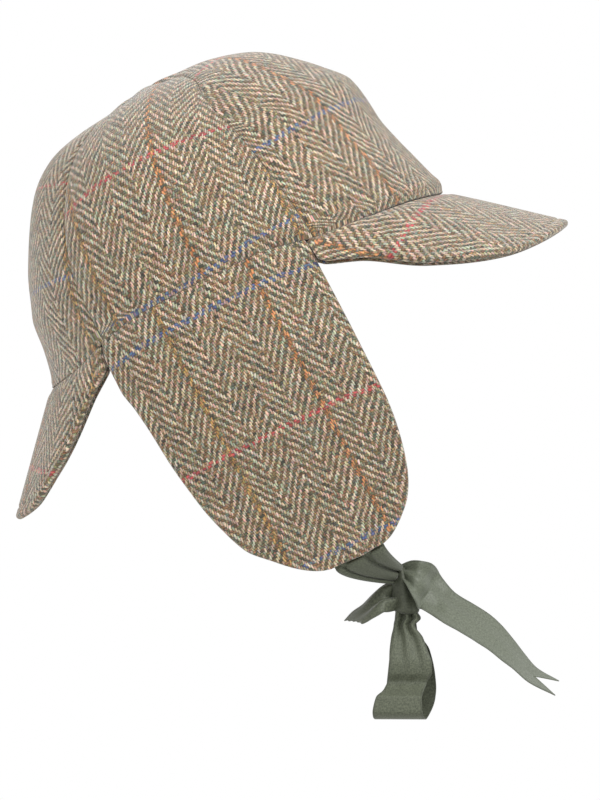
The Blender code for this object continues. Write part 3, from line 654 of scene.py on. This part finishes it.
# An ear flap: rows across its outline at each share of the drop, drawn in by its rounded edge, with a tuck
# along the rim seam and a slight hollow a few millimetres inside its edge, where its two layers are turned.
def earFlap(hand, side):
    middle, half = flapSpan()
    first, last = flapLook["topInset"], 1 - flapLook["edgeInset"] / flapLook["drop"]
    rows = first + (last - first) * shares(flapLook["rows"], 0.35) ** 0.92
    across, down = np.meshgrid(2 * shares(flapLook["columns"], 0.5) - 1, rows)
    inset = flapLook["edgeInset"] / half
    forward, back = onCurve(flapRows, 1, down) - inset, onCurve(flapRows, 2, down) - inset
    x = middle + half * (forward - (forward + back) * (1 - across) / 2)
    base, normal = flapPoint(x, down, side), flapNormal(x, down, side)
    fromTop = (down - rows[0]) * flapLook["drop"]
    fromEdge = (1 - np.abs(across)) * half * (forward + back) / 2
    tuck = flapLook["tuckDepth"] * np.exp(-(fromTop / flapLook["tuckWidth"]) ** 2)
    hollow = (fromEdge - flapLook["turnedIn"]) / flapLook["turnedWidth"]
    raised = softness(base, flapLook["softDepth"]) - tuck - flapLook["turnedDepth"] * np.exp(-hollow ** 2)
    outer = base + raised[..., None] * normal
    along = lengthAlong(outer, axis=1)
    cell = np.clip((x < middle).sum(axis=1) - 1, 0, x.shape[1] - 2)
    row = np.arange(len(rows))
    part = np.clip((middle - x[row, cell]) / (x[row, cell + 1] - x[row, cell]), 0, 1)
    atMiddle = along[row, cell] * (1 - part) + along[row, cell + 1] * part
    spine = lengthAlong(flapPoint(np.full(len(rows), middle), rows, side))
    cut = flapLook["cut"][hand]
    fabric = fabricMap(along - atMiddle[:, None], -spine[:, None], cut["lean"])
    piece = clothShell(f"earFlap_{hand}", tilted(outer), tilted(normal), flapLook["wall"], fabric,
                       [woollenTweed], check=cut)
    dress(piece, [f"ear_flap_{hand.lower()}"])


for hand, side in hands:
    earFlap(hand, side)
print("ear flaps sewn")


peakLook = {
    "thick": 0.0036,
    "columns": 190,
    "edgeRows": 20,
    "innerRows": 40,
    "firstRow": 0.0006,  # share of the way to the edge rows
    "edgeZone": 0.007,
    "edgeShare": 0.6,  # of the width, at most
    "edgeInset": 0.0009,
    "stitchIn": 0.0036,
    "stitchDepth": 0.0004,
    "stitchWidth": 0.0006,
    "tuckDepth": 0.0009,
    "tuckWidth": 0.0022,
    "softDepth": 0.0003,
    "front": {
        "facing": 0.0, "half": 62.5, "width": 0.0575, "slope": 39.5, "endSlope": 71.0,
        "cut": {"skew": -0.262, "from": (-89.5, 7.2), "scale": (1.08, 0.85)},
    },
    "rear": {
        "facing": 180.0, "half": 41.4, "width": 0.0605, "slope": 48.0, "endSlope": 75.0,
        "cut": {"skew": 0.0, "from": (12.0, 40.7)},
    },
}

# rows from the middle to an end: share of the half angle, width, steepness
peakRows = {
    "front": np.array([
        (0.0, 1.0, 0.0), (0.32, 0.915, 0.3), (0.62, 0.6, 0.6), (0.83, 0.29, 0.8), (1.0, 0.18, 1.0),
    ]),
    "rear": np.array([
        (0.0, 1.0, 0.0), (0.25, 0.925, 0.14), (0.46, 0.7, 0.3), (0.81, 0.27, 0.72), (1.0, 0.17, 1.0),
    ]),
}


# A stiff peak: straight rulings leave the rim outwards and down, steeper and shorter towards its ends, over
# a thickness with a rounded free edge and a sunken line of stitching beside it.
def peak(place):
    look = peakLook[place]
    mirrored = np.concatenate([peakRows[place][:0:-1] * np.array([-1, 1, 1]), peakRows[place]])
    across = np.linspace(-1, 1, peakLook["columns"])
    inset, facing = peakLook["edgeInset"], math.radians(look["facing"])
    angle = facing + across * (math.radians(look["half"]) - inset / hat["rimSide"])
    steep = onCurve(mirrored, 2, across)
    slope = np.radians(look["slope"] + (look["endSlope"] - look["slope"]) * steep)[:, None]
    level = crownNormal(angle, np.zeros_like(angle))
    upright = np.array([0.0, 0.0, 1.0])
    ruling = np.cos(slope) * level - np.sin(slope) * upright
    above = np.sin(slope) * level + np.cos(slope) * upright
    width = look["width"] * onCurve(mirrored, 1, across) - inset
    start = crownBase(angle, np.zeros_like(angle)) - hat["seamGap"] * upright
    edgeZone = np.minimum(peakLook["edgeZone"], width * peakLook["edgeShare"])
    inner = np.linspace(peakLook["firstRow"], 1, peakLook["innerRows"])[:, None] * (width - edgeZone)
    outerRows = (width - edgeZone) + np.linspace(0, 1, peakLook["edgeRows"] + 1)[1:, None] * edgeZone
    out = np.concatenate([inner, outerRows])
    base = start + out[..., None] * ruling
    fromStitch = (width - out - peakLook["stitchIn"]) / peakLook["stitchWidth"]
    line = peakLook["stitchDepth"] * np.exp(-fromStitch ** 2)
    tuck = peakLook["tuckDepth"] * np.exp(-(out / peakLook["tuckWidth"]) ** 2)
    normal = np.broadcast_to(above, base.shape)
    surface = base + (softness(base, peakLook["softDepth"]) - line - tuck)[..., None] * normal
    slant = math.radians(look["slope"])
    middleWay = np.array([math.cos(slant) * math.cos(facing), 0.0, -math.sin(slant)])
    lengthwise = surface @ middleWay
    steps = np.diff(surface, axis=1)
    sideways = np.sqrt(np.maximum((steps ** 2).sum(-1) - (steps @ middleWay) ** 2, 0))
    widthwise = np.insert(np.cumsum(sideways, axis=1), 0, 0, axis=1)
    widthwise = widthwise - widthwise[:, peakLook["columns"] // 2][:, None]
    fabric = fabricMap(widthwise, lengthwise, skew=look["cut"]["skew"])
    piece = clothShell(f"peak_{place.title()}", tilted(surface), tilted(normal), peakLook["thick"], fabric,
                       [woollenTweed], bulge=0.9, rings=8, check=look["cut"])
    dress(piece, [f"peak_{place}"])


peak("front")
peak("rear")
print("peaks sewn")


bandLook = {"height": 0.030, "wall": 0.0012, "gap": 0.0005, "firstRow": 0.004, "columns": 260, "rows": 16}


# The band: a ring just inside the crown's cloth, from the rim to its height.
def innerBand():
    turn = np.linspace(0, 2 * math.pi, bandLook["columns"])
    top = np.interp(bandLook["height"] / hat["crownHeight"], crownRows[:, 1], crownRows[:, 0])
    angle, up = np.meshgrid(turn, np.linspace(bandLook["firstRow"], top, bandLook["rows"]))
    normal = crownNormal(angle, up)
    outer = crownBase(angle, up) - (hat["cloth"] + bandLook["gap"]) * normal
    fabric = np.stack([lengthAlong(outer, axis=1), lengthAlong(outer, axis=0)], -1) * 1000
    piece = clothShell("innerBand", tilted(outer), tilted(normal), bandLook["wall"], fabric, [petershamBand],
                       bulge=0.3)
    dress(piece, ["rim_band"])


innerBand()
print("band sewn")


# in mm; forward and drop are from the origin, the middle of the rim's plane
knotLook = {
    "forward": 72.2,
    "drop": 139.0,
    "folds": 5,
    "foldShare": 0.07,
    "foldTwist": 2.5,
    "wall": 0.0003,  # m
    "columns": 120,
    "rows": 70,
}
knotCentre = np.array([knotLook["forward"], 0.0, -knotLook["drop"]]) / 1000

# rows: share of the way down, ahead and down of the knot's middle, half width, half depth, in mm
knotRows = np.array([
    (0.00, -1.9, -11.6, 0.3, 1.0), (0.05, -1.7, -11.2, 1.6, 2.6), (0.14, -1.4, -9.4, 2.7, 4.6),
    (0.30, -0.9, -6.2, 3.8, 6.4), (0.50, 0.0, -0.6, 4.9, 7.4), (0.70, 0.9, 4.6, 5.6, 7.8),
    (0.84, 1.5, 8.2, 5.5, 7.2), (0.94, 1.8, 10.0, 4.4, 5.2), (1.00, 1.9, 10.4, 0.6, 1.0),
])


# Upright direction of a grid of points: the cross product of its two differences.
def gridNormal(grid):
    return unit(np.cross(np.gradient(grid, axis=0), np.gradient(grid, axis=1)))


# A closed ribbon from its middle grid: half its thickness to each side, mapped by its own width and length.
def ribbonShell(name, grid, share, nodes, finishes):
    normal = gridNormal(grid)
    outer = grid + ribbon["wall"] / 2 * normal
    length = lengthAlong(grid[:, grid.shape[1] // 2])
    fabric = np.stack(np.broadcast_arrays(share[None, :] * ribbon["width"] * 500, length[:, None] * 1000), -1)
    piece = clothShell(name, outer, normal, ribbon["wall"], fabric, finishes, bulge=0.6, rings=3)
    dress(piece, nodes)


tieLook = {
    "sewn": 0.016,
    "laidTo": 1.01,  # share of the flap's drop
    "under": 0.0005,
    "end": (-2.6, 3.4, 7.6),  # mm ahead, aside and up of the knot's middle
    "lean": 0.5,
    "gathered": 0.0095,
    "gatheredArea": 0.75,  # share of the flat ribbon's
    "leave": 3.6,  # rows of the laid part, straight on
    "foldPower": 0.35,
    "foldLoss": 0.3,  # at the knot
    "laidRows": 14,
    "rows": 90,
    "columns": 90,
}
# rows: share across from the lower edge, mm that the folds stand out
tieFolds = np.array([
    (-1.00, -1.5), (-0.90, 0.4), (-0.78, 0.0), (-0.68, -4.5), (-0.56, 0.2), (-0.25, 2.6), (0.05, 1.6),
    (0.16, -1.5), (0.26, -6.5), (0.36, -5.5), (0.44, 0.5), (0.55, 2.4), (0.80, 2.0), (1.00, -1.5),
])


# The ribbon sewn inside a flap's lower end: it lies on the flap, then leaves on a quadratic curve to the
# knot, narrows and gathers into folds that grow with a root of the way along.
def tie(hand, side):
    middle, half = flapSpan()
    x = middle + half * (flapRows[-1, 1] - flapRows[-1, 2]) / 2
    depth = flapLook["wall"] + 2 * hat["seamGap"] + tieLook["under"]
    laidRows = tieLook["laidRows"]
    sewnFrom = 1 - tieLook["sewn"] / flapLook["drop"]
    share, down = np.meshgrid(np.linspace(-1, 1, tieLook["columns"]),
                              np.linspace(sewnFrom, tieLook["laidTo"], laidRows))
    places = x + share * ribbon["width"] / 2
    laid = tilted(flapPoint(places, down, side) - depth * flapNormal(places, down, side))
    ahead, aside, up = tieLook["end"]
    knotWay = unit(np.array([tieLook["lean"], 0.0, 1.0]))
    endMiddle = knotCentre + np.array([ahead, side * aside, up]) / 1000
    end = endMiddle + share[0][:, None] * tieLook["gathered"] / 2 * knotWay
    leave = laid[-1] + tieLook["leave"] * (laid[-1] - laid[-2])
    t = np.linspace(0, 1, tieLook["rows"] - laidRows + 1)[1:, None, None]
    grid = np.concatenate([laid, (1 - t) ** 2 * laid[-1] + 2 * t * (1 - t) * leave + t ** 2 * end])
    gathered = np.concatenate([np.zeros(laidRows), t[:, 0, 0]])[:, None]
    folds = onCurve(tieFolds, 1, share[0]) / 1000
    grid[..., 1] += side * gathered ** tieLook["foldPower"] * (1 - tieLook["foldLoss"] * gathered) * folds
    length = lengthAlong(grid[:, tieLook["columns"] // 2])[-1]
    ribbonShell(f"tie_{hand}", grid, share[0], [f"tie_{hand.lower()}"],
                [satinPaintedShade])


# A run of ribbon: its middle line plus a share of its width, with cosine folds across it, and an end cut
# slantwise in teeth, whose points and hollows are a zigzag of the share.
def ribbonRun(name, centre, widthWay, width, nodes, finishes,
              fold=0.0, folds=2.0, cut=0.0, slant=0.0, teeth=1):
    share = np.linspace(-1, 1, ribbon["columns"])
    along = unit(np.gradient(centre, axis=0))
    face = unit(np.cross(along, widthWay))
    ripple = (np.asarray(fold) * np.ones(len(centre)))[:, None] * np.cos(math.pi * folds * share[None, :])
    sideways = (width / 2)[:, None, None] * share[None, :, None] * widthWay[:, None, :]
    grid = centre[:, None, :] + sideways + ripple[..., None] * face[:, None, :]
    zigzag = 2 * np.abs((share + 1) / 2 * teeth % 1 - 0.5)
    late = np.linspace(0, 1, len(centre))[:, None, None] ** ribbon["cutPower"]
    shorter = cut * (1 - zigzag) + slant * (1 - share) / 2
    grid = grid - late * shorter[None, :, None] * along[:, None, :]
    length = lengthAlong(centre)[-1]
    flatArea = ribbon["width"] * length
    area = np.sum(width[:-1] * np.diff(lengthAlong(centre)))
    area = float(np.clip(area, ribbon["leastArea"] * flatArea, flatArea))
    ribbonShell(name, grid, share, nodes, finishes)


loopLook = {
    "turn": 9.0, "rows": 220, "top": 9.5, "roll": 6.5,
    "fold": 1.5, "folds": 2.6, "foldReach": 12.0, "lowerFold": 20.0, "lowerShare": 0.35,
}
# rows: share of the way round, depth in rolls, mm down, share of the ribbon's width, slip in widths
loopRows = np.array([
    (0.00, 0.30, 0.0, 0.39, -0.06), (0.03, 0.45, 2.9, 0.47, -0.09), (0.06, 0.55, 6.1, 0.39, -0.03),
    (0.11, 0.85, 11.7, 0.58, -0.09), (0.16, 1.10, 17.7, 0.70, -0.13), (0.22, 1.25, 23.7, 0.79, -0.17),
    (0.25, 1.15, 27.9, 0.81, -0.16), (0.30, 0.75, 32.5, 0.73, -0.09), (0.33, 1.20, 36.2, 0.75, -0.04),
    (0.37, 1.85, 39.4, 0.85, 0.02), (0.43, 1.80, 45.9, 0.92, 0.05), (0.49, 1.00, 49.2, 0.94, 0.05),
    (0.53, 0.20, 49.6, 0.94, 0.05), (0.57, -0.45, 47.8, 0.92, 0.01), (0.64, -0.75, 40.8, 0.92, -0.09),
    (0.69, -0.80, 35.3, 0.92, -0.11), (0.74, -0.80, 29.3, 0.88, -0.11), (0.84, -0.70, 17.7, 0.72, -0.09),
    (0.93, -0.50, 8.4, 0.43, -0.01), (1.00, -0.30, 0.0, 0.36, -0.02),
])


# The hanging loop of the half bow: down its front layer, round the bottom and up behind.
def bowLoop():
    along = np.linspace(0, 1, loopLook["rows"])
    turn = math.radians(loopLook["turn"])
    widthWay = np.array([math.cos(turn), -math.sin(turn), 0.0])
    depthWay = np.array([-math.sin(turn), -math.cos(turn), 0.0])
    down = onCurve(loopRows, 2, along)
    centre = (knotCentre + loopLook["roll"] / 1000 * onCurve(loopRows, 1, along)[:, None] * depthWay
              - (loopLook["top"] + down)[:, None] / 1000 * np.array([0, 0, 1.0])
              - ribbon["width"] * onCurve(loopRows, 4, along)[:, None] * widthWay)
    width = ribbon["width"] * onCurve(loopRows, 3, along)
    reach = loopLook["foldReach"]
    lower = np.exp(-((down - loopLook["lowerFold"]) / reach) ** 2)
    fade = np.exp(-(down / reach) ** 2) + loopLook["lowerShare"] * lower
    ribbonRun("bowLoop", centre, np.tile(widthWay, (len(along), 1)), width, ["bow_loop"], [satinPaintedShade],
              fold=loopLook["fold"] / 1000 * fade, folds=loopLook["folds"])


# rows: share along, mm ahead, down and aside of the knot's middle, share of the width, lean, turn
tailLook = {
    "front": {
        # the paler copy: painted light for the upturned front tail
        "node": "tail_front", "finishes": [satinPaintedLit],
        "cut": 0.012, "slant": 0.0, "teeth": 1, "fold": 0.0009,
        "rows": np.array([
            (0.000, -0.9, -8.9, 3.0, 0.30, 0, 42), (0.055, 2.6, -7.5, 6.5, 0.60, 7, 36),
            (0.098, 5.8, -5.2, 8.5, 0.80, 11, 30), (0.142, 8.8, -2.9, 6.0, 0.93, 18, 26),
            (0.197, 11.6, -0.1, -1.0, 1.00, 27, 42), (0.259, 15.6, 3.6, -0.4, 1.00, 26, 50),
            (0.333, 20.9, 8.0, 2.5, 1.00, 27, 55), (0.430, 28.8, 12.5, 3.5, 1.00, 28, 56),
            (0.517, 35.7, 16.7, 4.2, 1.00, 24, 56), (0.597, 41.7, 21.1, 4.8, 1.00, 25, 59),
            (0.675, 47.0, 26.2, 5.0, 1.00, 27, 63), (0.768, 53.1, 32.4, 5.0, 1.00, 37, 70),
            (0.864, 59.5, 38.7, 5.0, 1.00, 36, 73), (1.000, 70.8, 44.8, 5.0, 1.00, 20, 75),
        ]),
    },
    "rear": {
        # the darker copy: painted shade for the rear tail
        "node": "tail_rear", "finishes": [satinPaintedShade],
        "cut": 0.0006, "slant": 0.0055, "teeth": 4, "fold": 0.0026,
        "rows": np.array([
            (0.000, -2.3, 0.6, 1.0, 0.60, -4, 26), (0.157, -6.2, 1.8, 3.0, 0.62, -6, 33),
            (0.307, -10.1, 2.9, 4.5, 0.75, -9, 53), (0.461, -13.6, 5.7, 5.0, 0.85, -14, 63),
            (0.659, -17.8, 9.6, 5.5, 0.95, -27, 72), (0.836, -21.9, 12.6, 5.0, 1.00, -37, 74),
            (1.000, -25.3, 15.9, 4.0, 1.00, -47, 76),
        ]),
    },
}


# A loose tail: its middle line out of the knot, its width leaning and turning along the way.
def tail(place):
    look = tailLook[place]
    along = np.linspace(0, 1, ribbon["tailRows"])
    ahead, down, aside, wide, lean, turn = (onCurve(look["rows"], column, along) for column in range(1, 7))
    lean, turn = np.radians(lean), np.radians(turn)
    widthWay = stack(np.cos(turn) * np.sin(lean), np.sin(turn), np.cos(turn) * np.cos(lean))
    centre = knotCentre + stack(ahead, -aside, -down) / 1000
    ribbonRun(f"{place}Tail", centre, widthWay, ribbon["width"] * wide, [look["node"]], look["finishes"],
              fold=look["fold"] * (1 - along) ** 2, cut=look["cut"], slant=look["slant"], teeth=look["teeth"])


# The knot: a wrap of ribbon round the others, an ellipse at each share of the way down a leaning middle
# line, with lengthwise folds that are a cosine of the angle.
def knot():
    turn, share = np.linspace(0, 2 * math.pi, knotLook["columns"]), np.linspace(0, 1, knotLook["rows"])
    around, down = np.meshgrid(turn, share)
    ahead, drop, half, depth = (onCurve(knotRows, column, down) for column in range(1, 5))
    turned = knotLook["folds"] * around + knotLook["foldTwist"] * down + 0.6
    folds = 1 + knotLook["foldShare"] * np.cos(turned)
    spread = stack(np.cos(around) * half * folds, np.sin(around) * depth * folds, 0.0)
    points = knotCentre + (spread + stack(ahead, 0.0, -drop)) / 1000
    normal = -gridNormal(points)
    fabric = np.stack([around * 5, drop], -1)
    piece = clothShell("bowKnot", points, normal, knotLook["wall"], fabric, [satinPaintedShade], bulge=0.2, rings=3)
    dress(piece, ["bow_knot"])


for hand, side in hands:
    tie(hand, side)
knot()
bowLoop()
tail("front")
tail("rear")
print("ribbons tied")


studio = {
    "aim": (0.0241, 0.0, -0.0505),
    "away": 6.0,
    "frameHeight": 0.3704,
    "floor": -0.62,
    "floorReach": 3.0,
    "floorSquares": 8,
    "ambient": 0.73,
    # place, size and power
    "lights": {
        "keyLight": ((1.75, -1.4, 2.0), 1.4, 62.0),
        "fillLight": ((-1.3, -2.0, 0.9), 1.6, 28.0),
    },
}


# A long lens straight at the wearer's right side: focal length is the sensor's long side times the
# distance, over the height that the picture shows.
def setCamera():
    data = bpy.data.cameras.new("camera")
    data.sensor_width = 36.0
    data.lens = 36.0 * studio["away"] / studio["frameHeight"]
    data.clip_start, data.clip_end = 0.1, 60.0
    holder = addObject("camera", data)
    holder.location = (studio["aim"][0], studio["aim"][1] - studio["away"], studio["aim"][2])
    holder.rotation_euler = (math.radians(90), 0, 0)
    bpy.context.scene.camera = holder


def addLight(name, place, size, power):
    data = bpy.data.lights.new(name, "AREA")
    data.shape, data.size, data.energy = "DISK", size, power
    holder = addObject(name, data)
    holder.location = place
    toAim = np.array(studio["aim"]) - np.array(place)
    flat = math.hypot(toAim[0], toAim[1])
    holder.rotation_euler = (math.atan2(flat, -toAim[2]), 0, math.atan2(-toAim[0], toAim[1]))


# The floor: a wide square, far enough below to take no shadow in the picture.
def setFloor():
    made, shader = newMaterial("paleStudioFloor")[::2]
    shader.inputs["Base Color"].default_value = colour("c8c8c4")
    shader.inputs["Roughness"].default_value = 0.9
    lines = np.linspace(-studio["floorReach"], studio["floorReach"], studio["floorSquares"] + 1)
    x, y = (way.ravel() for way in np.meshgrid(lines, lines))
    grid = np.arange(len(x)).reshape(len(lines), -1)
    points = stack(x, y, studio["floor"])
    quads = gridQuads(grid)
    floor = addMesh("studioFloor", points, quads, points[:, :2], [made], np.zeros(len(quads)))


def setWorld():
    world = bpy.data.worlds.new("softStudio")
    world.use_nodes = True
    tree = world.node_tree
    rays = addNode(tree, "LightPath").outputs["Is Camera Ray"]
    power = addNode(tree, "Mix", [rays, studio["ambient"], 1.0], data_type="FLOAT")
    background = tree.nodes["Background"]
    background.inputs["Color"].default_value = colour("ffffff")
    tree.links.new(power.outputs[0], background.inputs["Strength"])
    bpy.context.scene.world = world


setCamera()
setWorld()
setFloor()
for name, light in studio["lights"].items():
    addLight(name, *light)
bpy.context.scene.view_settings.view_transform = "Standard"
print("studio lit")
